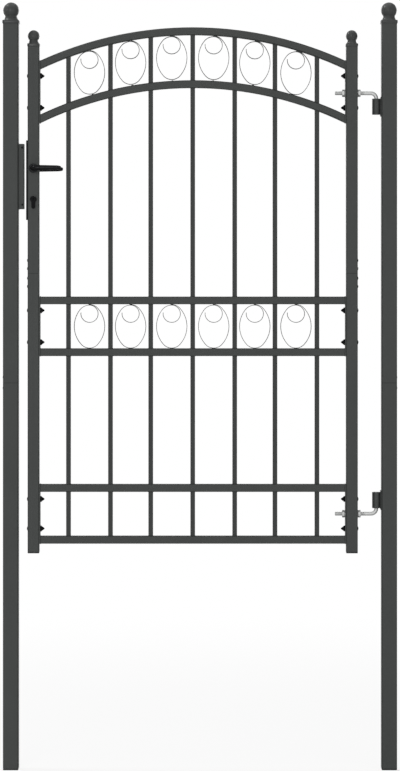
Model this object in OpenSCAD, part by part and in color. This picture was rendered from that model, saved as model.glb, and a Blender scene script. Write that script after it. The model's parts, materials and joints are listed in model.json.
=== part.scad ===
// Single-leaf garden gate of square steel tube, hung between its two posts.
// Everything is in millimetres. The origin is the middle of the hinge post's foot,
// +X points away from the leaf, -Y is the front and +Z is up.

/* [Posts] */
// Width of the square posts
post_w = 40; // [36:1:56]
// Wall of the post tubes
post_wall = 2; // [1.5:0.25:3]
// Outer corner radius of the post tubes
post_corner = 4; // [3.5:0.25:6]
// Height of a post from its foot to the top of its tube
post_h = 1944; // [1920:4:2400]
// Height of the joint between the two halves of a post
post_seam_h = 1008; // [900:4:1200]
// Distance from the post joint to the screw on either side of it
post_screw_offset = 14; // [10:1:30]
// Gap between the hinge post and the hinge stile
hinge_gap = 62; // [56:1:90]
// Gap between the latch post and the latch stile
latch_gap = 24; // [21:1:36]

/* [Leaf] */
// Width of the leaf over both stiles
leaf_w = 860; // [830:10:1000]
// How far the stiles' tubes end below the posts' tubes
leaf_drop = 60; // [50:2:120]
// Height of a stile from its foot to the top of its tube
stile_h = 1320; // [1300:5:1450]
// Width of the square stiles
stile_w = 30; // [28:1:38]
// Wall of the stile tubes
stile_wall = 1.5; // [1.25:0.25:2.5]
// Outer corner radius of the stile tubes
stile_corner = 3; // [2.75:0.25:4.5]
// Height of the joint between the two halves of a stile, above the leaf's foot
stile_seam_h = 729; // [715:1:760]
// Distances from the stile joint to the two screws on either side of it
stile_screw_offsets = [12.5, 34];

/* [Rails] */
// Width of the square rails
rail_w = 20; // [18:1:26]
// Wall of the rail tubes
rail_wall = 1.5; // [1:0.25:2]
// Outer corner radius of the rail tubes
rail_corner = 2.5; // [2.25:0.25:4]
// Height of the lowest rail's underside above the leaf's foot
rail_lift = 24.5; // [10:0.5:60]
// Distance between the centres of the two bottom rails
bottom_pitch = 135; // [120:1:160]
// Height of the middle band's centre above the leaf's foot
mid_h = 591; // [560:1:600]
// Distance between the centres of the two middle rails
mid_pitch = 135; // [120:1:140]
// Rise of the upper arch from the stiles to its middle
arch_rise = 88; // [60:2:120]
// Rise of the lower arch from the stiles to its middle
lower_arch_rise = 90.5; // [60:0.5:122]
// How far below the stile's top the upper arch meets it
arch_drop = 37.5; // [10:0.5:60]

/* [Bars] */
// Width of the square bars
bar_w = 12; // [10:1:14]
// Wall of the bar tubes
bar_wall = 1; // [0.75:0.25:1.5]
// Outer corner radius of the bar tubes
bar_corner = 1.5; // [1.25:0.25:2]
// Distance between the centres of neighbouring bars
bar_pitch = 108; // [102:1:118]
// How far the bars next to the middle one stand out, and the next ones in, from an even spacing
bar_shift = 1.5; // [0:0.5:2]

/* [Scrolls] */
// Width of a scroll
scroll_w = 81; // [72:1:86]
// Thickness of the scroll strip
strip_t = 1.4; // [1:0.1:2]
// Depth of the scroll strip, front to back
strip_depth = 10; // [6:1:16]
// Radius of a scroll's two round ends, to the middle of the strip
scroll_end_r = 29; // [26:0.5:32]
// Radius of the coil inside a scroll, to the middle of the strip
coil_r = 22.5; // [18:0.5:24]
// Direction in which the coil's free end lies, seen from the coil's middle
coil_start = 172; // [150:1:200]
// Least gap between a scroll's foot and the lower arch
scroll_lift = 0.5; // [0.5:0.25:3]

/* [Caps and feet] */
// Thickness of the flange under a post or stile
foot_t = 4; // [2:0.5:8]
// Length of the stub of a cap or foot inside its tube
stub_l = 12; // [8:1:25]
// Height of the square collar of a post cap
post_collar_h = 9; // [6:0.5:12]
// How far a post cap's collar stands out past the post
post_collar_out = 2; // [0.5:0.25:3]
// Diameter of a post cap's ball
post_ball_d = 42; // [36:1:50]
// Diameter of the neck under a post cap's ball
post_neck_d = 29; // [20:1:32]
// Height of a post cap's ball centre above the tube
post_ball_z = 35; // [33:1:40]
// Height of the square collar of a stile cap
stile_collar_h = 8.5; // [5:0.5:10]
// How far a stile cap's collar stands out past the stile
stile_collar_out = 1.2; // [0.2:0.2:2]
// Diameter of a stile cap's ball
stile_ball_d = 31; // [26:1:36]
// Diameter of the neck under a stile cap's ball
stile_neck_d = 23; // [16:1:24]
// Height of a stile cap's ball centre above the tube
stile_ball_z = 28; // [26:1:32]

/* [Fastenings] */
// Thickness of the end plates that close the rails
plate_t = 2.5; // [2:0.5:5]
// Width of the end plates, front to back
plate_w = 25; // [24:1:28]
// Distance between the two bolts of the top and of the middle end plates
bolt_pitch = 83; // [70:1:86]
// Distance between the two bolts of the bottom end plates
bottom_bolt_pitch = 77; // [60:1:86]
// Diameter of the frame bolts
bolt_d = 8; // [6:1:9]
// Diameter of the frame bolts' round heads
bolt_head_d = 13; // [12:0.5:16]
// Height of the frame bolts' round heads
bolt_head_h = 2.5; // [2:0.25:4]
// Length of a cap nut with its washer
cap_nut_l = 11; // [9.5:0.5:14]
// Width of a cap nut's hexagon across its flats
cap_nut_af = 13; // [12:0.5:13.5]
// Length of a cap nut's hexagon with its washer
cap_nut_hex_l = 4; // [3:0.5:6]
// Diameter of a cap nut's cone where it leaves the hexagon
cap_nut_cone_d = 11.8; // [11.2:0.2:12]
// Diameter of a cap nut's blunt tip
cap_nut_tip_d = 2.5; // [2:0.5:6]
// How far a frame bolt reaches into its cap nut
bolt_reach = 5; // [4:0.5:5]
// Diameter of the washers under the cap nuts
washer_d = 16; // [15.5:0.5:18]
// Thickness of the washers under the cap nuts
washer_t = 1.5; // [1:0.25:2]
// Diameter of the joint screws
screw_d = 4.8; // [4:0.2:6]
// Diameter of the stile joint screws' heads
stile_screw_head_d = 10; // [8:0.5:12]
// Height of the stile joint screws' heads
stile_screw_head_h = 2.3; // [1.5:0.1:3]
// Diameter of the post joint screws' heads
post_screw_head_d = 11; // [8:0.5:12]
// Height of the post joint screws' heads
post_screw_head_h = 1.8; // [1.2:0.1:3]
// Length of a joint screw's shank
screw_l = 10; // [8:1:14]
// Wall of the splices inside the joints
splice_wall = 1.5; // [1:0.25:2.5]
// Length of a stile splice
stile_splice_l = 130; // [100:2:140]
// Length of a post splice
post_splice_l = 120; // [80:2:200]

/* [Hinges] */
// Diameter of the bent hinge rods
rod_d = 10; // [8:1:12]
// Radius of the rods' bend, to the middle of the rod
rod_bend_r = 14; // [12:0.5:16]
// Length of rod that stands out inside the leaf, past the stile
rod_tail = 29; // [22:1:50]
// Outer diameter of the hinge sockets
socket_d = 21.5; // [18:1:24]
// Length of the hinge sockets
socket_l = 41.5; // [30:1:50]
// Thickness of the plates that carry the sockets
socket_plate_t = 2.5; // [2:0.5:5]
// Width of the plates that carry the sockets
socket_plate_w = 30; // [26:1:32]
// How far a socket's plate stands past each end of the socket
socket_plate_over = 4; // [2:0.5:4]
// Width of the weld between a hinge socket and its plate
socket_weld_w = 9; // [6:0.5:12]
// How far the upper hinge rod lies below the middle of its end plates
rod_offset = 3.5; // [0:0.5:6]
// Width of the hinge rods' nuts across their flats
nut_af = 17; // [15:0.5:19]
// Height of the hinge rods' nuts
nut_h = 8; // [6:0.5:10]
// Play that lets the leaf lift before the lower rod meets its socket
lift_play = 1; // [1:0.5:4]

/* [Lock] */
// Height of the lever's spindle above the leaf's foot
lever_h = 1003; // [960:1:1020]
// Height of the lock's faceplate
face_h = 207; // [196:1:230]
// Width of the lock's faceplate, front to back
face_w = 24; // [20:1:26]
// Thickness of the lock's faceplate
face_t = 4; // [2:0.5:5]
// How far the faceplate's middle lies below the spindle
face_below = 31; // [26:0.5:36]
// Height of the lock case
case_h = 165; // [150:1:180]
// Width of the lock case, front to back
case_w = 16; // [14:1:20]
// Gap between the lock case and the stile's far wall
case_back = 4.5; // [3:0.5:8]
// Wall of the lock case and of the strike box
lock_wall = 2; // [1:0.25:2.5]
// Height of the strike box
strike_h = 170; // [150:1:200]
// Width of the strike box, front to back
strike_w = 26; // [22:1:32]
// How far the strike box's middle lies below the spindle
strike_below = 21.5; // [10:0.5:30]
// How far the key cylinder's centre lies below the spindle
key_below = 81; // [72:1:92]
// How far the key cylinder stands out of the stile on each side
key_out = 4; // [2:0.5:10]
// Height of the key cylinder's profile
key_h = 33; // [30:0.5:34]
// Diameter of the key cylinder's round part
key_head_d = 17; // [16:0.5:18]
// Width of the key cylinder's web
key_web_w = 10; // [9:0.5:11]
// Width, depth and height of the keyway in each end of the key cylinder
keyway = [2, 3, 8];
// Height of the spring latch
latch_bolt_h = 14; // [10:1:18]
// How far the spring latch lies above the spindle
latch_bolt_above = 18; // [14:1:22]
// Height of the dead bolt
dead_bolt_h = 24; // [16:1:26]
// How far the dead bolt lies below the spindle
dead_bolt_below = 40; // [36:1:46]
// Width of both bolts of the lock, front to back
lock_bolt_w = 10; // [8:0.5:11]
// Length of both bolts of the lock
lock_bolt_l = 18; // [12:1:22]

/* [Lever] */
// Diameter of the rosettes under the levers
rosette_d = 24; // [20:0.5:26]
// Thickness of the rosettes
rosette_t = 5; // [3:0.5:8]
// Size of the square spindle
spindle_w = 8; // [6:0.5:8]
// How far the spindle's hole ends short of each lever's bend
spindle_short = 2; // [1:0.5:5]
// Diameter of a lever's neck
neck_d = 14; // [13:0.5:17]
// Radius of the bend between a lever's neck and grip, to the middle of the bend
lever_bend_r = 12; // [9:0.5:16]
// Distance from the rosette to the middle of a lever's grip
grip_reach = 35; // [28:1:50]
// Length of a lever from its spindle to its tip
grip_l = 74; // [60:1:80]
// Diameter of the grip before its tip
grip_end_d = 12; // [9:0.5:14]
// Length of a lever's tapered tip
tip_l = 12; // [4:1:14]
// Diameter of the tip's flat end
tip_d = 6.5; // [3:0.5:8]

/* [Clearances] */
// Gap on each side of a piece that is pushed into another
fit = 0.15; // [0.05:0.05:0.25]
// Gap at a tip or edge that is closed by a weld
weld_gap = 0.1; // [0.05:0.05:0.25]
// Gap between the turning pieces of a hinge or lever
pin_play = 0.25; // [0.1:0.05:0.3]
// Gap between the lock's faceplate and the strike box
swing_gap = 5.2; // [5:0.1:8]
// Gap on each side of a lock's bolt in the strike box
strike_play = 2; // [1:0.5:4]

/* [Hidden] */
$fn = 64;
// Overlap that carries a cut past the face that it opens
cut = 1;

PAINT = "#4a4b4b";
DARK = "#2f3030";
BLACK = "#161616";
ZINC = "#a9abad";

bar_count = 7;
bar_shifts = [0, bar_shift, -bar_shift, 0];
bars = [for (i = [0 : bar_count - 1]) let (place = i - (bar_count - 1) / 2)
    place * bar_pitch + sign(place) * bar_shifts[abs(place)]];
bays = [for (i = [0 : bar_count - 2]) (bars[i] + bars[i + 1]) / 2];

// Places along X. Side 1 is the hinge side and side -1 the latch side.
leaf_x = -(post_w / 2 + hinge_gap + leaf_w / 2);
latch_post_x = -(post_w + hinge_gap + leaf_w + latch_gap);
pivot_x = -(post_w / 2 + socket_plate_t + socket_d / 2);
inner_w = leaf_w - 2 * stile_w;
rail_l = inner_w - 2 * plate_t;

// Heights of the leaf, which hangs from the posts' tops down
stile_top = post_h - leaf_drop;
leaf_lift = stile_top - stile_h;
stile_seam = leaf_lift + stile_seam_h;
bottom_z = leaf_lift + rail_lift + (rail_w + bottom_pitch) / 2;
mid_z = leaf_lift + mid_h;
spindle_z = leaf_lift + lever_h;
key_z = spindle_z - key_below;

// A scroll is a strip that starts in the coil, passes over the coil's top, runs down the left
// side, round the foot, up the right side and back over the coil. top_in is the height of
// the strip's middle where it leaves the coil, and top_out is its height at its outer end.
scroll_h = mid_pitch - rail_w - 2 * weld_gap;
top_out = (scroll_h - strip_t) / 2;
top_in = top_out - strip_t - weld_gap;
half_w = (scroll_w - strip_t) / 2;
side_r = (half_w * half_w + pow(top_out - scroll_end_r, 2) - scroll_end_r * scroll_end_r)
    / (2 * (half_w - scroll_end_r));
side_x = side_r - half_w;

// Radius of the end that reaches height top and runs on smoothly into the scroll's side
function end_radius(top) =
    (side_x * side_x + top * top - side_r * side_r) / (2 * (top - side_r));

// Direction in which that end meets the side
function end_angle(top) = atan2(top - end_radius(top), side_x);

// Outer radius of an arch that rises so far over the width between the stiles
function arch_r(rise) = (pow(inner_w / 2, 2) + rise * rise) / (2 * rise);

// The lower arch is as far down as the outermost scroll needs
arch_out_r = arch_r(arch_rise);
arch_in_r = arch_out_r - rail_w;
lower_out_r = arch_r(lower_arch_rise);
lower_in_r = lower_out_r - rail_w;
arch_z = stile_top - arch_drop - (arch_out_r - arch_rise);
end_out_r = scroll_end_r + strip_t / 2;
last_bay = bays[bar_count - 2];
lower_arch_z = arch_z + chord(arch_in_r - end_out_r - weld_gap, last_bay)
    - chord(lower_out_r + end_out_r + scroll_lift, last_bay) + 2 * end_out_r - scroll_h;

// Height of a circle of radius r above its centre, at the distance x to one side
function chord(r, x) = sqrt(r * r - x * x);

// Height at which the scroll of the bay at x hangs, so that it just meets the upper arch
function scroll_z(x) = arch_z + (x > 0
    ? chord(arch_in_r - end_out_r - weld_gap, x) - (top_out - scroll_end_r)
    : min(chord(arch_in_r, x) - scroll_h / 2 - weld_gap,
        chord(arch_in_r - end_radius(top_in) - strip_t / 2 - weld_gap, x)
        - (top_in - end_radius(top_in))));

// End plates, as [lower end, upper end], from the top pair of rails to the bottom pair
plates = [
    [lower_arch_z + chord(lower_in_r, rail_l / 2), arch_z + chord(arch_out_r, rail_l / 2)],
    [mid_z - (mid_pitch + rail_w) / 2, mid_z + (mid_pitch + rail_w) / 2],
    [bottom_z - (bottom_pitch + rail_w) / 2, bottom_z + (bottom_pitch + rail_w) / 2]];
function plate_mid(i) = (plates[i][0] + plates[i][1]) / 2;
bolt_heights = [
    for (i = [0 : 2], side = [-0.5, 0.5])
        plate_mid(i) + side * (i == 2 ? bottom_bolt_pitch : bolt_pitch)];

upper_rod_z = plate_mid(0) - rod_offset;
lower_rod_z = plate_mid(2);
upper_socket_z = upper_rod_z - rod_bend_r - pin_play - socket_l;
lower_socket_z = lower_rod_z + rod_bend_r + lift_play;

face_z = spindle_z - face_below;
case_d = stile_w - stile_wall - case_back;
strike_d = latch_gap - face_t - swing_gap;
latch_z = spindle_z + latch_bolt_above;
dead_z = spindle_z - dead_bolt_below;

spindle_hole_d = sqrt(2) * spindle_w + 2 * pin_play;
neck_start = stile_w / 2 + rosette_t + pin_play;
grip_y = stile_w / 2 + rosette_t + grip_reach;
// How far the spindle reaches from the middle of the stile into each lever's neck
spindle_reach = grip_y - lever_bend_r - spindle_short;

// ---- Shapes that repeat ----

// A square with round corners
module round_square(w, r) {
    square([w - 2 * r, w], center = true);
    square([w, w - 2 * r], center = true);
    for (x = [-1, 1], y = [-1, 1]) translate([x, y] * (w / 2 - r)) circle(r);
}

// The hollow section of a square tube
module tube_section(w, wall, r) {
    difference() {
        round_square(w, r);
        round_square(w - 2 * wall, r - wall);
    }
}

// A square tube that stands on z = 0
module tube(w, wall, r, length) {
    linear_extrude(length) tube_section(w, wall, r);
}

// A rod along X, from x = x0 to x = x1
module x_rod(d, x0, x1) {
    translate([x0, 0, 0]) rotate([0, 90, 0]) cylinder(d = d, h = x1 - x0);
}

// A rod along Y, centred on y = 0
module y_rod(d, length) {
    rotate([90, 0, 0]) cylinder(d = d, h = length, center = true);
}

// A domed head on x = 0 that points along +X, with its shank behind it
module headed_pin(head_d, head_h, shank_d, shank_l) {
    ball_r = (head_d * head_d / 4 + head_h * head_h) / (2 * head_h);
    rotate([0, 90, 0]) rotate_extrude() {
        intersection() {
            translate([0, head_h - ball_r]) circle(ball_r);
            square([head_d, head_h]);
        }
        translate([0, -shank_l]) square([shank_d / 2, shank_l + head_h / 2]);
    }
}

// Puts pieces on a post, with +X pointing away from the leaf
module at_post(side) {
    translate([side > 0 ? 0 : latch_post_x, 0, 0]) mirror([side > 0 ? 0 : 1, 0, 0]) children();
}

// Puts pieces on a stile, with +X pointing away from the leaf
module at_stile(side) {
    translate([leaf_x + side * (leaf_w - stile_w) / 2, 0, 0])
        mirror([side > 0 ? 0 : 1, 0, 0]) children();
}

// The flanged plug that closes the foot of a tube
module foot(w, wall, r) {
    linear_extrude(foot_t) round_square(w, r);
    linear_extrude(foot_t + stub_l) round_square(w - 2 * (wall + fit), r - wall);
}

// A cap with a square collar, a hollow neck and a ball, standing on the tube's end at z = 0
module ball_cap(w, wall, r, collar_h, collar_out, ball_d, neck_d, ball_z) {
    neck_r = neck_d / 2;
    neck_z = ball_z - chord(ball_d / 2, neck_r);
    skirt_r = w / 2 + collar_out / 2;
    hollow_r = (pow(skirt_r - neck_r, 2) + pow(neck_z - collar_h, 2))
        / (2 * (skirt_r - neck_r));
    translate([0, 0, -stub_l])
        linear_extrude(stub_l + cut) round_square(w - 2 * (wall + fit), r - wall);
    linear_extrude(collar_h) round_square(w + 2 * collar_out, r + collar_out);
    rotate_extrude() difference() {
        translate([0, collar_h - cut]) square([skirt_r, neck_z - collar_h + 2 * cut]);
        translate([neck_r + hollow_r, neck_z]) circle(hollow_r);
    }
    translate([0, 0, ball_z]) sphere(d = ball_d);
}

// ---- Posts ----

module post_half(side, z0, z1) {
    color(PAINT) difference() {
        at_post(side) translate([0, 0, z0]) tube(post_w, post_wall, post_corner, z1 - z0);
        at_post(side) for (z = [-1, 1] * post_screw_offset)
            translate([0, 0, post_seam_h + z]) x_rod(screw_d + 2 * fit, 0, post_w);
    }
}

module post_splices() {
    w = post_w - 2 * (post_wall + fit);
    color(PAINT) for (side = [-1, 1]) at_post(side) difference() {
        translate([0, 0, post_seam_h - post_splice_l / 2])
            tube(w, splice_wall, post_corner - post_wall, post_splice_l);
        for (z = [-1, 1] * post_screw_offset)
            translate([0, 0, post_seam_h + z]) x_rod(screw_d + 2 * fit, 0, post_w);
    }
}

module post_screws() {
    color(BLACK) for (side = [-1, 1], z = [-1, 1] * post_screw_offset)
        at_post(side) translate([post_w / 2, 0, post_seam_h + z])
            headed_pin(post_screw_head_d, post_screw_head_h, screw_d, screw_l);
}

module post_feet() {
    color(DARK) for (side = [-1, 1]) at_post(side) foot(post_w, post_wall, post_corner);
}

module post_caps() {
    color(DARK) for (side = [-1, 1]) at_post(side) translate([0, 0, post_h])
        ball_cap(post_w, post_wall, post_corner, post_collar_h, post_collar_out,
            post_ball_d, post_neck_d, post_ball_z);
}

// A short tube welded to a plate on the hinge post, with the pivot through its bore
module hinge_socket(z) {
    color(PAINT) difference() {
        translate([pivot_x, 0, z]) {
            cylinder(d = socket_d, h = socket_l);
            translate([socket_d / 2, -socket_plate_w / 2, -socket_plate_over])
                cube([socket_plate_t, socket_plate_w, socket_l + 2 * socket_plate_over]);
            translate([0, -socket_weld_w / 2, 0])
                cube([(socket_d + socket_plate_t) / 2, socket_weld_w, socket_l]);
        }
        translate([pivot_x, 0, z - cut])
            cylinder(d = rod_d + 2 * pin_play, h = socket_l + 2 * cut);
    }
}

// The folded box on the latch post that the lock's bolts shoot into
module strike_box() {
    face_x = -post_w / 2 - strike_d;
    color(PAINT) at_post(-1)
        translate([0, 0, spindle_z - strike_below]) difference() {
            translate([face_x + strike_d / 2, 0, 0])
                cube([strike_d, strike_w, strike_h], center = true);
            translate([face_x + lock_wall + strike_d / 2, 0, 0])
                cube([strike_d, strike_w - 2 * lock_wall, strike_h - 2 * lock_wall],
                    center = true);
            for (b = [[latch_z, latch_bolt_h], [dead_z, dead_bolt_h]])
                translate([face_x, 0, b[0] - spindle_z + strike_below])
                    cube([2 * lock_wall + cut, lock_bolt_w + 2 * strike_play,
                        b[1] + 2 * strike_play],
                        center = true);
        }
}

// ---- Stiles ----

// Everything that is drilled or cut into a stile, in the stile's own place
module stile_holes(side) {
    for (z = bolt_heights)
        translate([0, 0, z]) x_rod(bolt_d + 2 * fit, -stile_w, stile_w);
    for (offset = stile_screw_offsets, z = [-1, 1] * offset)
        translate([0, 0, stile_seam + z]) x_rod(screw_d + 2 * fit, 0, stile_w);
    if (side > 0) for (z = [upper_rod_z, lower_rod_z])
        translate([0, 0, z]) x_rod(rod_d + 2 * fit, -stile_w, stile_w);
    if (side < 0) {
        translate([stile_w / 2, 0, face_z])
            cube([2 * stile_wall + cut, case_w + 2 * fit, case_h + 2 * fit], center = true);
        lock_holes(fit);
    }
}

// The spindle hole and the key cylinder's hole, front to back, with a gap round the cylinder
module lock_holes(gap) {
    translate([0, 0, spindle_z]) y_rod(spindle_hole_d, 2 * stile_w);
    translate([0, 0, key_z]) key_shape(2 * stile_w, gap);
}

module stile_half(side, z0, z1) {
    color(PAINT) at_stile(side) difference() {
        translate([0, 0, z0]) tube(stile_w, stile_wall, stile_corner, z1 - z0);
        stile_holes(side);
    }
}

module stile_splices() {
    w = stile_w - 2 * (stile_wall + fit);
    color(PAINT) for (side = [-1, 1]) at_stile(side) difference() {
        translate([0, 0, stile_seam - stile_splice_l / 2])
            tube(w, splice_wall, stile_corner - stile_wall + fit, stile_splice_l);
        for (offset = stile_screw_offsets, z = [-1, 1] * offset)
            translate([0, 0, stile_seam + z]) x_rod(screw_d + 2 * fit, 0, stile_w);
    }
}

module stile_screws() {
    color(BLACK) for (side = [-1, 1], offset = stile_screw_offsets, z = [-1, 1] * offset)
        at_stile(side) translate([stile_w / 2, 0, stile_seam + z])
            headed_pin(stile_screw_head_d, stile_screw_head_h, screw_d, screw_l);
}

module stile_feet() {
    color(DARK) for (side = [-1, 1]) at_stile(side) translate([0, 0, leaf_lift])
        foot(stile_w, stile_wall, stile_corner);
}

module stile_caps() {
    color(DARK) for (side = [-1, 1]) at_stile(side) translate([0, 0, stile_top])
        ball_cap(stile_w, stile_wall, stile_corner, stile_collar_h, stile_collar_out,
            stile_ball_d, stile_neck_d, stile_ball_z);
}

// ---- Rails, bars and scrolls ----

// The square holes that the bars pass through, from z0 up to z1
module bar_holes(z0, z1) {
    for (x = bars) translate([leaf_x + x, 0, z0])
        linear_extrude(z1 - z0) round_square(bar_w + 2 * fit, bar_corner + fit);
}

// A straight rail between the end plates, pierced where the bars pass through it
module rail(z, pierced = true) {
    color(PAINT) difference() {
        translate([leaf_x - rail_l / 2, 0, z]) rotate([0, 90, 0])
            tube(rail_w, rail_wall, rail_corner, rail_l);
        if (pierced) bar_holes(z - rail_w, z + rail_w);
    }
}

// An arched rail whose circle's centre is at height z
module arch(z, rise, pierced) {
    out_r = arch_r(rise);
    half_angle = asin(inner_w / 2 / (out_r - rail_w));
    color(PAINT) difference() {
        intersection() {
            translate([leaf_x, 0, z]) rotate([90, 0, 0]) rotate([0, 0, 90 - half_angle])
                rotate_extrude(angle = 2 * half_angle, $fn = 256)
                    translate([out_r - rail_w / 2, 0])
                        tube_section(rail_w, rail_wall, rail_corner);
            translate([leaf_x - rail_l / 2, -rail_w, z])
                cube([rail_l, 2 * rail_w, 2 * out_r]);
        }
        if (pierced) bar_holes(z + out_r - rise - 2 * rail_w, z + out_r + cut);
    }
}

// A bar that stands on the lowest rail and ends under the upper arch
module bar(i) {
    foot_z = bottom_z - (bottom_pitch - rail_w) / 2;
    color(PAINT) intersection() {
        translate([leaf_x + bars[i - 1], 0, foot_z])
            tube(bar_w, bar_wall, bar_corner, stile_h);
        translate([leaf_x, 0, arch_z]) rotate([90, 0, 0])
            cylinder(r = arch_in_r - weld_gap, h = 2 * rail_w, center = true, $fn = 256);
    }
}

// Points of an arc round centre, from direction a0 to a1, without its first point
function arc(centre, r, a0, a1, steps) =
    [for (i = [1 : steps]) let (a = a0 + (a1 - a0) * i / steps)
        centre + r * [cos(a), sin(a)]];

// One edge of a scroll's strip, the distance off outside the strip's middle
function strip_edge(off) = let (in_r = end_radius(top_in), in_a = end_angle(top_in),
        out_a = end_angle(top_out)) concat(
    [[0, top_in - coil_r] + (coil_r + off) * [cos(coil_start), sin(coil_start)]],
    arc([0, top_in - coil_r], coil_r + off, coil_start, 360 + 90, 30),
    arc([0, top_in - in_r], in_r + off, 90, 180 - in_a, 7),
    arc([side_x, 0], side_r + off, 180 - in_a, 180 + out_a, 10),
    arc([0, scroll_end_r - top_out], scroll_end_r + off, 180 + out_a, 360 - out_a, 12),
    arc([-side_x, 0], side_r + off, -out_a, out_a, 10),
    arc([0, top_out - scroll_end_r], scroll_end_r + off, out_a, 90, 7));

module scroll(x, z) {
    outer = strip_edge(strip_t / 2);
    inner = strip_edge(-strip_t / 2);
    last = len(inner) - 1;
    color(PAINT) translate([leaf_x + x, 0, z]) rotate([90, 0, 0])
        linear_extrude(strip_depth, center = true)
            polygon(concat(outer, [for (i = [0 : last]) inner[last - i]]));
}

module top_scrolls() {
    for (x = bays) scroll(x, scroll_z(x));
}

module mid_scrolls() {
    for (x = bays) scroll(x, mid_z);
}

// ---- Plates, bolts and hinge rods ----

module end_plates() {
    color(PAINT) for (side = [-1, 1], plate = plates) at_stile(side) difference() {
        translate([-stile_w / 2 - plate_t, -plate_w / 2, plate[0]])
            cube([plate_t, plate_w, plate[1] - plate[0]]);
        stile_holes(side);
    }
}

module frame_bolts() {
    color(BLACK) for (side = [-1, 1], z = bolt_heights) at_stile(side)
        translate([stile_w / 2, 0, z])
            headed_pin(bolt_head_d, bolt_head_h, bolt_d, stile_w + plate_t + bolt_reach);
}

// A washer, a hexagon and a blunt cone over the bolt's end, pointing into the leaf
module cap_nut() {
    rotate([0, -90, 0]) difference() {
        union() {
            cylinder(d = washer_d, h = washer_t);
            cylinder(d = cap_nut_af / cos(30), h = cap_nut_hex_l, $fn = 6);
            translate([0, 0, cap_nut_hex_l])
                cylinder(d1 = cap_nut_cone_d, d2 = cap_nut_tip_d, h = cap_nut_l - cap_nut_hex_l);
        }
        translate([0, 0, -cut]) cylinder(d = bolt_d + 2 * fit, h = cut + bolt_reach + fit);
    }
}

module cap_nuts() {
    color(BLACK) for (side = [-1, 1], z = bolt_heights) at_stile(side)
        translate([-stile_w / 2 - plate_t, 0, z]) cap_nut();
}

// A round rod through the stile whose end is bent up (turn = 1) or down (turn = -1)
module hinge_rod(z, turn) {
    inner_end = leaf_x + inner_w / 2 - rod_tail;
    pin_l = (turn > 0 ? lift_play : pin_play) + socket_l;
    color(ZINC) translate([pivot_x, 0, z]) mirror([0, 0, turn > 0 ? 0 : 1]) {
        x_rod(rod_d, inner_end - pivot_x, -rod_bend_r);
        translate([-rod_bend_r, 0, rod_bend_r]) rotate([90, 0, 0]) rotate([0, 0, -90])
            rotate_extrude(angle = 90) translate([rod_bend_r, 0]) circle(d = rod_d);
        translate([0, 0, rod_bend_r]) cylinder(d = rod_d, h = pin_l);
    }
}

module hinge_nuts() {
    color(ZINC) for (z = [upper_rod_z, lower_rod_z], face = [0, 1])
        at_stile(1) translate([face * (stile_w + plate_t + nut_h) - stile_w / 2 - plate_t, 0, z])
            rotate([0, -90, 0]) difference() {
                cylinder(d = nut_af / cos(30), h = nut_h, $fn = 6);
                translate([0, 0, -cut]) cylinder(d = rod_d + 2 * fit, h = nut_h + 2 * cut);
            }
}

// ---- Lock and levers ----

// The profile of the key cylinder, grown by gap all round, through the given length along Y
module key_shape(length, gap) {
    head_r = key_head_d / 2;
    web_r = key_web_w / 2;
    rotate([90, 0, 0]) linear_extrude(length, center = true) {
        circle(head_r + gap);
        translate([0, head_r + web_r - key_h]) circle(web_r + gap);
        translate([-web_r - gap, head_r + web_r - key_h])
            square([2 * (web_r + gap), key_h - head_r - web_r]);
    }
}

// Places the lock's two bolts, each as a block that grows by gap on its four sides
module bolt_blocks(x0, x1, gap) {
    for (b = [[latch_z, latch_bolt_h], [dead_z, dead_bolt_h]])
        translate([x0, -lock_bolt_w / 2 - gap, b[0] - b[1] / 2 - gap])
            cube([x1 - x0, lock_bolt_w + 2 * gap, b[1] + 2 * gap]);
}

module lock_faceplate() {
    color(BLACK) at_stile(-1) difference() {
        translate([stile_w / 2, -face_w / 2, face_z - face_h / 2]) cube([face_t, face_w, face_h]);
        bolt_blocks(0, stile_w, fit);
    }
}

// The lock case in the latch stile, open towards the faceplate
module lock_case() {
    color(ZINC) at_stile(-1) difference() {
        translate([stile_w / 2 - case_d, -case_w / 2, face_z - case_h / 2])
            cube([case_d, case_w, case_h]);
        translate([stile_w / 2 - case_d + lock_wall, -case_w / 2 + lock_wall,
                face_z - case_h / 2 + lock_wall])
            cube([case_d, case_w - 2 * lock_wall, case_h - 2 * lock_wall]);
        lock_holes(fit);
    }
}

// The spring latch and the dead bolt, both drawn back flush with the faceplate
module lock_bolts() {
    color(ZINC) at_stile(-1)
        bolt_blocks(stile_w / 2 + face_t - lock_bolt_l, stile_w / 2 + face_t, 0);
}

module lock_cylinder() {
    color(BLACK) at_stile(-1) translate([0, 0, key_z]) difference() {
        key_shape(stile_w + 2 * key_out, 0);
        for (side = [-1, 1]) translate([0, side * (stile_w / 2 + key_out), 0])
            cube([keyway.x, 2 * keyway.y, keyway.z], center = true);
    }
}

module lever_rosettes() {
    color(BLACK) at_stile(-1) for (side = [-1, 1])
        translate([0, side * (stile_w + rosette_t) / 2, spindle_z]) difference() {
            y_rod(rosette_d, rosette_t);
            y_rod(spindle_hole_d, rosette_t + 2 * cut);
        }
}

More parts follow.
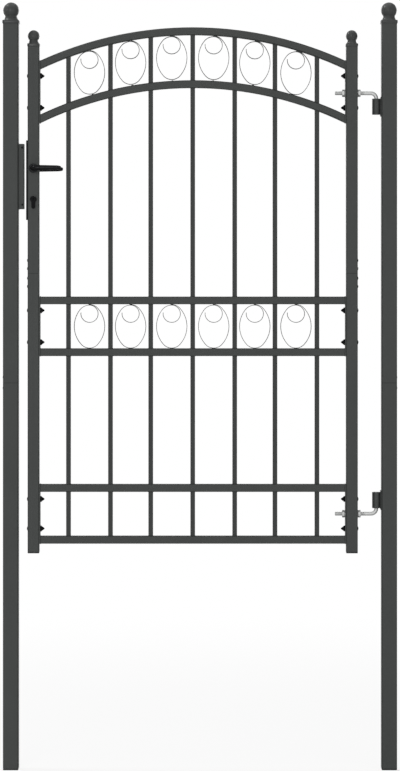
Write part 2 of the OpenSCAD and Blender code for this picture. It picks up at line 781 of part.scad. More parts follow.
// A lever on the back (side = 1) or the front (side = -1), with its grip towards the hinges
module lever(side) {
    color(BLACK) translate([leaf_x - (leaf_w - stile_w) / 2, 0, spindle_z])
        mirror([0, side > 0 ? 0 : 1, 0]) difference() {
            union() {
                translate([0, neck_start, 0]) rotate([-90, 0, 0])
                    cylinder(d = neck_d, h = grip_y - lever_bend_r - neck_start);
                translate([lever_bend_r, grip_y - lever_bend_r, 0]) rotate([0, 0, 90])
                    rotate_extrude(angle = 90) translate([lever_bend_r, 0]) circle(d = neck_d);
                translate([lever_bend_r, grip_y, 0]) rotate([0, 90, 0])
                    cylinder(d1 = neck_d, d2 = grip_end_d, h = grip_l - tip_l - lever_bend_r);
                translate([grip_l - tip_l, grip_y, 0]) rotate([0, 90, 0])
                    cylinder(d1 = grip_end_d, d2 = tip_d, h = tip_l);
            }
            cube([spindle_w + 2 * fit, 2 * spindle_reach, spindle_w + 2 * fit], center = true);
        }
}

module lever_spindle() {
    color(ZINC) translate([leaf_x - (leaf_w - stile_w) / 2, 0, spindle_z])
        cube([spindle_w, 2 * spindle_reach - 2 * fit, spindle_w], center = true);
}

// ---- The pieces by name ----

post_half(1, foot_t, post_seam_h);  // hinge_post_lower
post_half(1, post_seam_h, post_h);  // hinge_post_upper
post_half(-1, foot_t, post_seam_h);  // latch_post_lower
post_half(-1, post_seam_h, post_h);  // latch_post_upper
post_splices();
post_feet();
post_caps();
post_screws();
hinge_socket(upper_socket_z);  // hinge_socket_upper
hinge_socket(lower_socket_z);  // hinge_socket_lower
strike_box();
stile_half(1, leaf_lift + foot_t, stile_seam);  // hinge_stile_lower
stile_half(1, stile_seam, stile_top);  // hinge_stile_upper
stile_half(-1, leaf_lift + foot_t, stile_seam);  // latch_stile_lower
stile_half(-1, stile_seam, stile_top);  // latch_stile_upper
stile_splices();
stile_feet();
stile_caps();
stile_screws();
arch(arch_z, arch_rise, false);  // top_arch
arch(lower_arch_z, lower_arch_rise, true);  // lower_arch
rail(mid_z + mid_pitch / 2);  // mid_rail_upper
rail(mid_z - mid_pitch / 2);  // mid_rail_lower
rail(bottom_z + bottom_pitch / 2);  // bottom_rail_upper
rail(bottom_z - bottom_pitch / 2, false);  // bottom_rail_lower
bar(1);  // bar_1
bar(2);  // bar_2
bar(3);  // bar_3
bar(4);  // bar_4
bar(5);  // bar_5
bar(6);  // bar_6
bar(7);  // bar_7
end_plates();
top_scrolls();
mid_scrolls();
frame_bolts();
cap_nuts();
hinge_rod(upper_rod_z, -1);  // hinge_rod_upper
hinge_rod(lower_rod_z, 1);  // hinge_rod_lower
hinge_nuts();
lock_faceplate();
lock_case();
lock_bolts();
lock_cylinder();
lever_rosettes();
lever(-1);  // front_lever
lever(1);  // back_lever
lever_spindle();
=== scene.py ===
"""Finish, fittings and studio for the garden gate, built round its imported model."""
import json
import math

import bmesh
import bpy
from bpy.props import FloatProperty, FloatVectorProperty, IntProperty, PointerProperty
from mathutils import Matrix, Vector

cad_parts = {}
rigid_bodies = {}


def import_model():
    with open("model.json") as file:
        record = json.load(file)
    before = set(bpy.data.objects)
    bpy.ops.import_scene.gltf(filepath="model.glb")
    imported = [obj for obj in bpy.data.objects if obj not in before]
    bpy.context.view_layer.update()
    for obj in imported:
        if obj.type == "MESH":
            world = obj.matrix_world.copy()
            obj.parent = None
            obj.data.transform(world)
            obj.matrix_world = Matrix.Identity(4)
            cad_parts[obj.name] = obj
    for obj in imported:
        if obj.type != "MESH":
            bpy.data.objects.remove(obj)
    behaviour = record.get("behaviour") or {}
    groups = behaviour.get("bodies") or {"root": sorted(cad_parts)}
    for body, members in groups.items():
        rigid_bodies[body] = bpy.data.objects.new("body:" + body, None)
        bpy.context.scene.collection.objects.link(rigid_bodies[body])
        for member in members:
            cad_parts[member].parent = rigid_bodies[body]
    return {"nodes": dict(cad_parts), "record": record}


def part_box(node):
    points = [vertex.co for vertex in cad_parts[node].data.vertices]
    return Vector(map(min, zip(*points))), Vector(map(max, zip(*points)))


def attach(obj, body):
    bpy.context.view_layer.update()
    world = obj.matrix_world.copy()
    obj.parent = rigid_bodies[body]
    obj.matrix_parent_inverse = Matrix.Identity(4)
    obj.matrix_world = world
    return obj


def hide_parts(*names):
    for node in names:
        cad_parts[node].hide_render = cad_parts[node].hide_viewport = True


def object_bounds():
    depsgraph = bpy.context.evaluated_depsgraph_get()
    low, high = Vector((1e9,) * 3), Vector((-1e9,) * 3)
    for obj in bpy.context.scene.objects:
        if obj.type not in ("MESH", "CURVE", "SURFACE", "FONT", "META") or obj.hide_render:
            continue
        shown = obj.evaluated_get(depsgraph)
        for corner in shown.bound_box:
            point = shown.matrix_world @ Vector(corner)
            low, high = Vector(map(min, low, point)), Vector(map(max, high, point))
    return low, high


bl_info = {
    "name": "Garden gate",
    "version": (1, 0, 0),
    "blender": (4, 5, 0),
    "location": "View3D > Sidebar > Gate",
    "description": "Finishes a steel garden gate and lights it for a picture",
    "category": "Object",
}

for leftover in list(bpy.data.objects):
    bpy.data.objects.remove(leftover)
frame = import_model()
CAD_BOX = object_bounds()
NODES = frame["nodes"]
UP = Vector((0, 0, 1))

MERGE = 1e-6  # Points nearer than this many metres are one point
FLAT = 0.01  # Faces that turn by fewer radians are one face
SHARP = 0.7  # Edges that turn by more radians get rounded
CREASE = math.radians(35)  # Edges that turn by more look hard
PLATE = 0.0025  # Thickness of the end plates and of the hinges' plates
WASHER = 0.0015  # Thickness of a washer
PLAY = 0.0002  # How much wider a hole is than its bolt
BARS = 7
ARCHES = ("top_arch", "lower_arch")
RAILS = ("mid_rail_upper", "mid_rail_lower", "bottom_rail_upper", "bottom_rail_lower")
SOCKETS = ("hinge_socket_upper", "hinge_socket_lower")
SCROLLS = ("top_scrolls", "mid_scrolls")
SCROLL_END = 0.0297  # Radius of a scroll's round ends


def linear(colour):
    """A written colour as the linear one that shaders take."""
    return [c / 12.92 if c <= 0.04045 else ((c + 0.055) / 1.055) ** 2.4 for c in colour]


RECORD_COLOURS = {m["slot"]: linear(m["base_color"]) for m in frame["record"]["materials"]}


# ---- What a user may change ----


def number(name, description, default, **more):
    """A number from 0 up, for a property group."""
    return FloatProperty(name=name, description=description, default=default, min=0, **more)


def length(name, description, default):
    """A length in metres, for a property group."""
    return number(name, description, default, precision=5, subtype="DISTANCE",
                  unit="LENGTH")


def colour(name, description, default):
    """A linear colour, for a property group."""
    return FloatVectorProperty(name=name, description=description, default=default, size=3,
                               min=0, max=1, subtype="COLOR")


class GateFinish(bpy.types.PropertyGroup):
    """Colours and surface of the gate's materials"""

    paint: colour("Paint", "Powder coat of the tubes, plates and scrolls",
                  RECORD_COLOURS["painted_steel"])
    plastic: colour("Plastic", "Ball caps and feet", RECORD_COLOURS["cap_plastic"])
    black: colour("Black", "Lock, levers, bolts and screws", RECORD_COLOURS["black_metal"])
    zinc: colour("Zinc", "Hinge rods and their nuts",
                 [c * w for c, w in zip(RECORD_COLOURS["zinc_steel"], (1, 0.98, 0.94))])
    paint_roughness: number("Paint roughness", "How dull the powder coat is", 0.5, max=1,
                            subtype="FACTOR")
    # Strength of the shade painted into the coat's colour round the tubes' corners
    corner: number("Corners", "How much darker the coat is round tubes' corners", 0.55,
                   max=1, subtype="FACTOR")
    seam: length("Joint line", "Height of the dark line where two tubes meet", 0.0009)


class GateSizes(bpy.types.PropertyGroup):
    """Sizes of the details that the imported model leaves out"""

    edge: length("Edge", "Rounding of the plates' and boxes' edges", 0.0006)
    strip_edge: length("Strip edge", "Rounding of the scroll strips' edges", 0.0003)
    post_ball: length("Post ball", "Diameter of a post cap's ball", 0.042)
    post_neck: length("Post neck", "Diameter of a post cap's neck", 0.0312)
    post_collar: length("Post collar", "Height of a post cap's collar", 0.009)
    stile_ball: length("Stile ball", "Diameter of a stile cap's ball", 0.031)
    stile_neck: length("Stile neck", "Diameter of a stile cap's neck", 0.023)
    stile_collar: length("Stile collar", "Height of a stile cap's collar", 0.0085)
    bolt: length("Bolt", "Diameter of the frame bolts", 0.008)
    bead: length("Weld", "Width of a weld bead", 0.0032)
    nut_hexagon: length("Cap nut hexagon", "Width of a cap nut's hexagon", 0.013)
    nut_cone: length("Cap nut cone", "Diameter of a cap nut's cone at the hexagon", 0.0118)
    nut_tip: length("Cap nut tip", "Diameter of a cap nut's round tip", 0.005)
    rod_bend: length("Rod bend", "Radius of the hinge rods' bend", 0.014)
    thread_pitch: length("Thread pitch", "Pitch of the hinge rods' thread", 0.0015)
    thread_depth: length("Thread depth", "Depth of the hinge rods' thread", 0.00045)
    sides: IntProperty(name="Sides", description="Facets round a turned piece", default=32,
                       min=12, max=96)


class GateStage(bpy.types.PropertyGroup):
    """Camera, lamps and floor"""

    distance: length("Distance", "From the camera to the gate", 7.5)
    eye: length("Eye", "Height of the camera above the gate's feet", 1.3)
    picture_height: length("Picture height", "Height that the picture takes in at the gate",
                           2.0115)
    floor: length("Floor", "Half the width of the floor", 14)
    key: number("Key lamp", "Power of the main lamp", 180, unit="POWER")
    spot: number("High lamp", "Power of the small lamp high on the left", 118, unit="POWER")
    top: number("Top lamp", "Power of the lamp overhead", 36, unit="POWER")
    fill: number("Fill lamps", "Power of each weaker lamp", 55, unit="POWER")
    sky: number("Sky", "Strength of the light from all round", 0.12)


# ---- Materials ----


class Value:
    """A socket that takes part in sums, so that shader maths reads as it is meant."""

    def __init__(self, graph, socket):
        self.graph = graph
        self.socket = socket

    def maths(self, operation, *terms):
        """One Math node on the terms, in their order."""
        return self.graph.node("ShaderNodeMath", {"operation": operation},
                               dict(enumerate(terms)))

    def __add__(self, other):
        return self.maths("ADD", self, other)

    def __sub__(self, other):
        return self.maths("SUBTRACT", self, other)

    def __rsub__(self, other):
        return self.maths("SUBTRACT", other, self)

    def __mul__(self, other):
        return self.maths("MULTIPLY", self, other)

    def highest(self, other):
        """The greater of two values."""
        return self.maths("MAXIMUM", self, other)

    def between(self, low, high):
        """0 below low and 1 above high, with a smooth rise from one to the other."""
        return self.graph.node("ShaderNodeMapRange", {"interpolation_type": "SMOOTHSTEP"},
                               {"Value": self, "From Min": low, "From Max": high})


class Graph:
    """The nodes of one material or of the world."""

    def __init__(self, owner):
        owner.use_nodes = True
        self.tree = owner.node_tree
        self.tree.nodes.clear()

    def node(self, kind, settings=None, inputs=None, output=0):
        """Adds a node: its settings first, then the values or links of its sockets."""
        made = self.tree.nodes.new(kind)
        for name, setting in (settings or {}).items():
            setattr(made, name, setting)
        for name, given in (inputs or {}).items():
            if isinstance(given, Value):
                self.tree.links.new(given.socket, made.inputs[name])
            else:
                made.inputs[name].default_value = given
        outputs = made.outputs
        return Value(self, outputs[output]) if len(outputs) else None

    def mix(self, factor, low, high):
        """The colour between low and high."""
        return self.node("ShaderNodeMix", {"data_type": "RGBA"},
                         {"Factor": factor, 6: low, 7: high}, output=2)

    def places(self, scale=(1, 1, 1)):
        """Object coordinates, stretched by scale."""
        where = self.node("ShaderNodeTexCoord", output=3)
        if scale == (1, 1, 1):
            return where
        return self.node("ShaderNodeVectorMath", {"operation": "MULTIPLY"},
                         {0: where, 1: scale})

    def painted_corner_shade(self):
        """1 where a surface turns from the front to a side, as round a tube's corner: the
        mask of the shade painted there.
        """
        normal = self.node("ShaderNodeTexCoord", output=1)
        facing = self.node("ShaderNodeSeparateXYZ", None, {0: normal}, output=1)
        squared = facing * facing
        return (squared * (1 - squared) * 4).between(0.35, 0.9)

    def noise(self, scale, detail=2, stretch=(1, 1, 1)):
        """Soft clouds with about scale lumps to the metre."""
        return self.node("ShaderNodeTexNoise", None,
                         {"Vector": self.places(stretch), "Scale": scale, "Detail": detail})

    def relief(self, height, distance):
        """A surface normal raised by height, a value from 0 to 1, over the distance."""
        return self.node("ShaderNodeBump", None,
                         {"Height": height, "Distance": distance})

    def surface(self, **sockets):
        """The shader and its output, with the sockets' names written with underscores."""
        shader = self.node("ShaderNodeBsdfPrincipled", None, {
            name.replace("_", " "): given for name, given in sockets.items()})
        self.node("ShaderNodeOutputMaterial", None, {"Surface": shader})


def tinted(base, amount):
    """A colour made lighter or darker, with its alpha."""
    return [min(1.0, c * amount) for c in base] + [1.0]


MATERIALS = {}


def material(name):
    """The named material's graph, new and empty."""
    MATERIALS[name] = bpy.data.materials.new(name)
    return Graph(MATERIALS[name])


def powder_coat(name, finish, seam_z=None, ripple=False, light=1.0):
    """Satin powder coat: faint clouds, a pebbled skin, painted shade round the corners, and
    a dark line at height seam_z.
    """
    g = material(name)
    clouds = g.noise(7, 3)
    streaks = g.noise(40, 2, (1, 1, 0.12))
    tone = g.mix((clouds * 0.7 + streaks * 0.3).between(0.3, 0.7),
                 tinted(finish.paint, 0.96 * light), tinted(finish.paint, 1.04 * light))
    # Painted shade: the colour goes darker where the surface turns from the front round a
    # corner
    tone = g.mix(g.painted_corner_shade() * finish.corner, tone, tinted(finish.paint, 0.25))
    skin = g.noise(650) * 0.7 + g.noise(2600, 1) * 0.3
    if ripple:
        bands = g.node("ShaderNodeTexNoise", None,
                       {"Vector": g.places(), "Scale": 420, "Detail": 1, "Distortion": 0.6})
        skin = skin * 0.25 + bands * 0.75
    if seam_z is not None:
        height = g.node("ShaderNodeSeparateXYZ", None, {0: g.places()}, output=2)
        off = height - seam_z
        line = 1 - off.maths("ABSOLUTE", off).between(finish.seam * 0.3, finish.seam * 0.6)
        tone = g.mix(line, tone, tinted(finish.paint, 0.25))
        skin = skin - line
    g.surface(Base_Color=tone, Roughness=clouds * 0.08 + (finish.paint_roughness - 0.04),
              Specular_IOR_Level=0.06, Normal=g.relief(skin, 0.0004 if ripple else 0.00005))


def moulded_plastic(name, finish, light=1.0):
    """Satin moulded plastic with the fine grain of its mould."""
    g = material(name)
    grain = g.noise(1500)
    clouds = g.noise(30)
    tone = g.mix(clouds.between(0.35, 0.65), tinted(finish.plastic, 0.9 * light),
                 tinted(finish.plastic, 1.08 * light))
    g.surface(Base_Color=tone, Roughness=grain * 0.06 + 0.19, Specular_IOR_Level=0.08,
              Normal=g.relief(grain, 0.00002))


def black_coat(name, finish, dull=0.3, metal=0.6, light=1.0):
    """Black lacquer on metal, a little worn to grey where the clouds run high."""
    g = material(name)
    clouds = g.noise(60, 3)
    grain = g.noise(1100)
    tone = g.mix(clouds.between(0.5, 0.8), tinted(finish.black, 4.2 * light),
                 tinted(finish.black, 5.6 * light))
    g.surface(Base_Color=tone, Metallic=metal, Roughness=clouds * 0.12 + (dull - 0.06),
              Specular_IOR_Level=0.1, Specular_Tint=(0.1, 0.1, 0.1, 1),
              Normal=g.relief(grain, 0.00003))


def zinc_plate(name, finish, light=1.06, dull=0.56):
    """Zinc plating: dull metal with cloudy spangles and faint drawn lines."""
    g = material(name)
    spangle = g.noise(260, 3)
    drawn = g.noise(900, 1, (0.05, 1, 1))
    tone = g.mix(spangle.between(0.35, 0.65), tinted(finish.zinc, 0.88 * light),
                 tinted(finish.zinc, light))
    g.surface(Base_Color=tone, Metallic=1.0, Roughness=spangle * 0.14 + dull,
              Specular_Tint=(0.55, 0.55, 0.55, 1), Normal=g.relief(drawn, 0.00002))


# ---- Shapes ----


def packed(node):
    """A CAD node's shape, with its double points merged."""
    bm = bmesh.new()
    bm.from_mesh(NODES[node].data)
    bmesh.ops.remove_doubles(bm, verts=bm.verts, dist=MERGE)
    return bm


def solids(node):
    """(lowest corner, highest corner) of each separate solid of a CAD node."""
    bm = packed(node)
    left, found = set(bm.verts), []
    while left:
        reached, frontier = set(), [left.pop()]
        while frontier:
            vert = frontier.pop()
            reached.add(vert)
            for near in (e.other_vert(vert) for e in vert.link_edges):
                if near in left:
                    left.remove(near)
                    frontier.append(near)
        corners = [v.co for v in reached]
        found.append((Vector(map(min, *corners)), Vector(map(max, *corners))))
    bm.free()
    return sorted(found, key=lambda box: (round(box[0].x, 4), round(box[0].z, 4)))


def middle(box):
    """The centre of a (lowest, highest) box."""
    return (box[0] + box[1]) / 2


def pointing(place, way):
    """A matrix that stands a shape's Z along way, at place."""
    turn = Vector(way).to_track_quat("Z", "Y").to_matrix().to_4x4()
    return Matrix.Translation(place) @ turn


def on_faces(boxes, left_x, right_x, out=1):
    """A place on the nearer of two faces for each box, facing out, or in if out is -1."""
    places = []
    for low, high in boxes:
        x, way = (right_x, out) if high.x > (left_x + right_x) / 2 else (left_x, -out)
        places.append(pointing((x, 0, (low.z + high.z) / 2), (way, 0, 0)))
    return places


def rounded(bm, edges, offset, segments):
    """Bevels edges the way the editor does."""
    bmesh.ops.bevel(bm, geom=edges, offset=offset, offset_type="OFFSET", segments=segments,
                    profile=0.5, affect="EDGES", clamp_overlap=True, material=-1)


def block(size, corner):
    """A cuboid with its upright edges rounded by corner."""
    bm = bmesh.new()
    bmesh.ops.create_cube(bm, size=1, matrix=Matrix.Diagonal((*size, 1)))
    upright = [e for e in bm.edges if abs((e.verts[0].co - e.verts[1].co).z) > MERGE]
    rounded(bm, upright, corner, 5)
    return bm


class Profile:
    """A line of edges drawn in the XZ plane, then turned about Z."""

    def __init__(self, radius, height):
        self.bm = bmesh.new()
        self.last = self.first = self.bm.verts.new((radius, 0, height))

    def to(self, *points):
        """Straight on to each (radius, height)."""
        for radius, height in points:
            vert = self.bm.verts.new((radius, 0, height))
            self.bm.edges.new((self.last, vert))
            self.last = vert
        return self

    def swing(self, radius, height, degrees, steps):
        """Round a centre at (radius, height); positive degrees run from up to outwards."""
        made = bmesh.ops.spin(self.bm, geom=[self.last], cent=(radius, 0, height),
                              axis=(0, 1, 0), angle=math.radians(degrees), steps=steps)
        self.last = made["geom_last"][0]
        return self

    def turned(self, steps, closed=False):
        """The shape that the line sweeps out; closed joins its end to its start."""
        if closed:
            self.bm.edges.new((self.last, self.first))
        bmesh.ops.spin(self.bm, geom=self.bm.verts[:] + self.bm.edges[:], cent=(0, 0, 0),
                       axis=UP, angle=math.tau, steps=steps, use_merge=True)
        bmesh.ops.remove_doubles(self.bm, verts=self.bm.verts, dist=MERGE)
        bmesh.ops.recalc_face_normals(self.bm, faces=self.bm.faces)
        return self.bm


def hexagon(across):
    """The limit of a hexagon, as a radius for each direction."""
    return lambda a: across / 2 / math.cos((a + math.pi / 6) % (math.pi / 3) - math.pi / 6)


def cross(arm_w):
    """The limit of a cross of four arms."""
    return lambda a: arm_w / 2 / max(
        1e-3, abs(math.sin((a + math.pi / 4) % (math.pi / 2) - math.pi / 4)))


def pinched(bm, limit, low=0.0, high=1.0):
    """Pulls in each point whose radius lies from low to high, as far as the limit asks."""
    for vert in bm.verts:
        radius = math.hypot(vert.co.x, vert.co.y)
        if low <= radius <= high and radius > 1e-6:
            keep = min(1.0, limit(math.atan2(vert.co.y, vert.co.x)) / radius)
            vert.co.x *= keep
            vert.co.y *= keep
    return bm


class Run:
    """A round bar laid from its start: straight on, round bends, thinner, then closed."""

    def __init__(self, start, way, radius, sides=24):
        self.bm = bmesh.new()
        self.centre = Vector(start)
        self.way = Vector(way).normalized()
        self.ring = bmesh.ops.create_circle(
            self.bm, cap_ends=True, segments=sides, radius=radius,
            matrix=pointing(start, way))["verts"]

    def edges(self):
        """The edges of the open end."""
        ring = set(self.ring)
        return [e for e in self.bm.edges if e.verts[0] in ring and e.verts[1] in ring]

    def on(self, distance, scale=1.0):
        """Straight on, to an end scaled about its middle by one number or by X, Y, Z."""
        made = bmesh.ops.extrude_edge_only(self.bm, edges=self.edges())["geom"]
        self.ring = [v for v in made if isinstance(v, bmesh.types.BMVert)]
        bmesh.ops.translate(self.bm, verts=self.ring, vec=self.way * distance)
        self.centre = self.centre + self.way * distance
        ratio = (scale,) * 3 if isinstance(scale, float) else scale
        bmesh.ops.scale(self.bm, verts=self.ring, vec=ratio,
                        space=Matrix.Translation(-self.centre))
        return self

    def through(self, steps):
        """Straight on through each (distance, scale)."""
        for distance, scale in steps:
            self.on(distance, scale)
        return self

    def bend(self, pivot, axis, degrees, steps=12):
        """Round the pivot."""
        made = bmesh.ops.spin(self.bm, geom=self.ring + self.edges(), cent=pivot, axis=axis,
                              angle=math.radians(degrees), steps=steps)["geom_last"]
        self.ring = [v for v in made if isinstance(v, bmesh.types.BMVert)]
        turn = Matrix.Rotation(math.radians(degrees), 3, axis)
        self.centre = Vector(pivot) + turn @ (self.centre - Vector(pivot))
        self.way = turn @ self.way
        return self

    def closed(self):
        """The bar with its last end filled."""
        bmesh.ops.contextual_create(self.bm, geom=self.edges())
        bmesh.ops.recalc_face_normals(self.bm, faces=self.bm.faces)
        return self.bm


def gathered(parts):
    """One shape that holds each (shape, places), with the shape at each of its places."""
    whole = bmesh.new()
    for shape, places in parts:
        mesh = bpy.data.meshes.new("part")
        shape.to_mesh(mesh)
        shape.free()
        for place in places:
            before = len(whole.verts)
            whole.from_mesh(mesh)
            whole.verts.ensure_lookup_table()
            bmesh.ops.transform(whole, matrix=place, verts=whole.verts[before:])
        bpy.data.meshes.remove(mesh)
    return whole


def softened(node, edge, segments=2):
    """A CAD node's shape with its sharp edges rounded."""
    bm = packed(node)
    bmesh.ops.dissolve_limit(bm, angle_limit=FLAT, verts=bm.verts, edges=bm.edges)
    sharp = [e for e in bm.edges if e.is_manifold and e.calc_face_angle() > SHARP]
    rounded(bm, sharp, edge, segments)
    return bm


def placed(name, data):
    """An object of the data, in the scene."""
    made = bpy.data.objects.new(name, data)
    bpy.context.scene.collection.objects.link(made)
    return made


def piece(name, bm, body, slot, finish, *stands_for):
    """A finished piece that rides on its body and stands for the CAD nodes it replaces."""
    mesh = bpy.data.meshes.new(name)
    bm.to_mesh(mesh)
    bm.free()
    if not len(mesh.polygons):
        raise RuntimeError(f"{name} came out empty")
    mesh.polygons.foreach_set("use_smooth", [True] * len(mesh.polygons))
    mesh.set_sharp_from_angle(angle=CREASE)
    mesh.materials.append(MATERIALS[finish])
    made = placed(name, mesh)
    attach(made, body)
    if stands_for:
        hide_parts(*stands_for)
    return made


def arch_circle(node):
    """The centre of an arched rail's circle and its outer radius, from its box."""
    low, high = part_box(node)
    half, rise, width = (high.x - low.x) / 2, high.z - low.z, high.y - low.y
    radius = (half ** 2 + rise ** 2 - width ** 2) / (2 * (rise - width))
    return Vector((low.x + half, 0, high.z - radius)), radius


# ---- Pieces ----


class GATE_OT_finish(bpy.types.Operator):
    """Makes the materials and puts them on the tubes and the other CAD pieces"""

    bl_idname = "gate.finish"
    bl_label = "Finish"

    def execute(self, context):
        finish = context.scene.gate_finish
        powder_coat("powder_coat", finish)
        powder_coat("weld_coat", finish, ripple=True, light=0.9)
        # Painted shade: the bars take the same paint made 0.82 as light, for the shade round
        # their narrow corners
        powder_coat("bar_coat", finish, light=0.82)
        for tube in ("post", "stile"):
            powder_coat(f"{tube}_coat", finish, seam_z=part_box(f"hinge_{tube}_lower")[1].z)
        moulded_plastic("cap_plastic_skin", finish)
        moulded_plastic("foot_plastic_skin", finish, light=0.5)
        black_coat("black_lacquer", finish)
        black_coat("black_bolts", finish, dull=0.5, metal=1.0, light=0.7)
        black_coat("black_roses", finish, dull=0.4, light=1.9)
        black_coat("black_cylinder", finish, dull=0.5, metal=0.0, light=0.95)
        zinc_plate("zinc_plate", finish)
        zinc_plate("zinc_nuts", finish, light=0.9, dull=0.5)
        by_slot = {"painted_steel": "powder_coat", "cap_plastic": "cap_plastic_skin",
                   "black_metal": "black_lacquer", "zinc_steel": "zinc_plate"}
        for entry in frame["record"]["subparts"]:
            node, chosen = entry["node"], by_slot[entry["material_slot"]]
            for tube in ("bar_", "_post_", "_stile_"):
                if tube in node:
                    chosen = tube.strip("_") + "_coat"
            for held in NODES[node].material_slots:
                held.material = MATERIALS[chosen]
        return {"FINISHED"}


def ball_cap(box, base_z, ball_d, neck_d, collar_h, edge, sides):
    """A square collar on the tube's top, a hollow neck, and a ball with its mould seam."""
    corner, step, sunk = 0.006, 0.0008, 0.002
    seam_h, seam_out, seam_in = 0.0005, 0.00025, 0.0004
    width = box[1].x - box[0].x
    ball_r, neck_r = ball_d / 2, neck_d / 2
    ball_h = box[1].z - ball_r - base_z
    neck_h = ball_h - math.sqrt(ball_r ** 2 - neck_r ** 2)
    skirt_r, foot_h = width / 2 - step, collar_h - sunk
    rise = neck_h - collar_h + sunk / 2
    hollow_r = ((skirt_r - neck_r) ** 2 + rise ** 2) / (2 * (skirt_r - neck_r))
    at = Matrix.Translation((middle(box).x, middle(box).y, base_z))
    collar = block((width, width, collar_h), corner)
    bmesh.ops.translate(collar, verts=collar.verts, vec=UP * collar_h / 2)
    rounded(collar, [e for e in collar.edges if e.calc_face_angle() > SHARP], edge, 3)
    top_angle = math.degrees(math.acos((neck_h - ball_h) / ball_r))
    turned = Profile(0, ball_h + ball_r).swing(0, ball_h, top_angle, 16)
    turned.swing(neck_r + hollow_r, neck_h, -math.degrees(math.asin(rise / hollow_r)), 6)
    turned.to((skirt_r, foot_h), (0, foot_h))
    seam = Profile(ball_r - seam_in, ball_h - seam_h).to(
        (ball_r + seam_out, ball_h), (ball_r - seam_in, ball_h + seam_h))
    return gathered([(collar, [at]), (turned.turned(sides), [at]),
                     (seam.turned(sides, closed=True), [at])])


class GATE_OT_caps(bpy.types.Operator):
    """Makes the ball caps of the posts and stiles, and the plugs at their feet"""

    bl_idname = "gate.caps"
    bl_label = "Caps and feet"

    def execute(self, context):
        s = context.scene.gate_sizes
        for tube, body, *cap in (
                ("post", "posts", s.post_ball, s.post_neck, s.post_collar),
                ("stile", "leaf", s.stile_ball, s.stile_neck, s.stile_collar)):
            base_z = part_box(f"hinge_{tube}_upper")[1].z
            caps = [(ball_cap(box, base_z, *cap, s.edge * 3, s.sides), [Matrix()])
                    for box in solids(f"{tube}_caps")]
            piece(f"{tube}_ball_caps", gathered(caps), body, "cap_plastic",
                  "cap_plastic_skin", f"{tube}_caps")
        for tube, body in (("post", "posts"), ("stile", "leaf")):
            piece(f"{tube}_foot_plugs", softened(f"{tube}_feet", s.edge * 1.6), body,
                  "cap_plastic", "foot_plastic_skin", f"{tube}_feet")
        return {"FINISHED"}


def hex_nut(across, height, bore, sides=24):
    """A hexagon nut with both ends chamfered, standing on z = 0."""
    corner, bore_r, face_r = across / 2 / math.cos(math.pi / 6), bore / 2, across / 2 * 0.97
    cut = (corner - across / 2) * 0.55
    nut = Profile(bore_r, height - cut / 2).to(
        (bore_r + cut, height), (face_r, height), (corner, height - cut), (corner, cut),
        (face_r, 0), (bore_r + cut, 0), (bore_r, cut / 2))
    return pinched(nut.turned(sides, closed=True), hexagon(across), low=bore_r + cut * 1.5)


def washer(outer, bore, sides):
    """A flat washer with soft edges, standing on z = 0."""
    r, soft = outer / 2, WASHER * 0.25
    ring = Profile(bore / 2, 0).to((r - soft, 0), (r, soft), (r, WASHER - soft),
                                   (r - soft, WASHER), (bore / 2, WASHER))
    return ring.turned(sides, closed=True)


class GATE_OT_bolts(bpy.types.Operator):
    """Makes the frame bolts' mushroom heads and their cap nuts inside the leaf"""

    bl_idname = "gate.bolts"
    bl_label = "Frame bolts"

    def execute(self, context):
        s = context.scene.gate_sizes
        self.heads(s, solids("frame_bolts"))
        self.nuts(s, solids("cap_nuts"))
        return {"FINISHED"}

    def heads(self, s, boxes):
        """The mushroom heads on the stiles' outer faces, with their shanks."""
        low, high = boxes[0]
        left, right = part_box("latch_stile_upper")[0].x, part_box("hinge_stile_upper")[1].x
        r, h, shank_r = (high.z - low.z) / 2, left - low.x, s.bolt / 2
        end = h + 0.001 - (high.x - low.x)  # 1 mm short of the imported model's
        ball = (r * r + h * h) / (2 * h)
        dome = Profile(0, h).swing(0, h - ball, math.degrees(math.asin(r * 0.96 / ball)), 8)
        dome.to((r, h * 0.16), (r * 0.97, 0), (shank_r, 0), (shank_r, end), (0, end))
        heads = gathered([(dome.turned(s.sides), on_faces(boxes, left, right))])
        piece("frame_bolt_heads", heads, "leaf", "black_metal", "black_bolts",
              "frame_bolts")

    def nuts(self, s, boxes):
        """The cap nuts inside the leaf: a washer, a low hexagon and a round-tipped cone."""
        hexagon_z, hexagon_h, tip_angle = 0.0014, 0.0027, 64
        foot_z, rim_z, slope_z, slope_run = 0.0035, 0.004, 0.0046, 0.0003
        low, high = boxes[0]
        total, tip_r, cone_r = high.x - low.x, s.nut_tip / 2, s.nut_cone / 2
        flat = washer(high.z - low.z, s.bolt + PLAY, s.sides)
        nut = hex_nut(s.nut_hexagon, hexagon_h, s.bolt + PLAY)
        bmesh.ops.translate(nut, verts=nut.verts, vec=(0, 0, hexagon_z))
        cone = Profile(0, total).swing(0, total - tip_r, tip_angle, 5)
        cone.to((cone_r - slope_run, slope_z), (cone_r, rim_z), (0, foot_z))
        places = on_faces(boxes, low.x, boxes[-1][1].x, out=-1)
        parts = [(shape, places) for shape in (flat, nut, cone.turned(24))]
        piece("frame_cap_nuts", gathered(parts), "leaf", "black_metal", "black_bolts",
              "cap_nuts")


def socket_screw(head_d, head_h, recess, sides=30):
    """A domed screw head on z = 0 with a recess of the given outline, and its shank."""
    r, h, depth, shank_l = head_d / 2, head_h, head_h * 0.62, 0.008
    ball = (r * r + h * h) / (2 * h)
    lip, shank_r = r * 0.42, r * 0.45
    lip_angle = math.asin(lip / ball)
    head = Profile(0, h - depth).to((lip * 0.9, h - depth), (lip * 0.96, h * 0.86))
    head.to((lip, h - ball + ball * math.cos(lip_angle)))
    head.swing(0, h - ball, math.degrees(math.asin(r * 0.95 / ball) - lip_angle), 6)
    head.to((r, h * 0.12), (r * 0.96, 0), (shank_r, 0), (shank_r, -shank_l), (0, -shank_l))
    return pinched(head.turned(sides), recess, high=lip * 0.97)


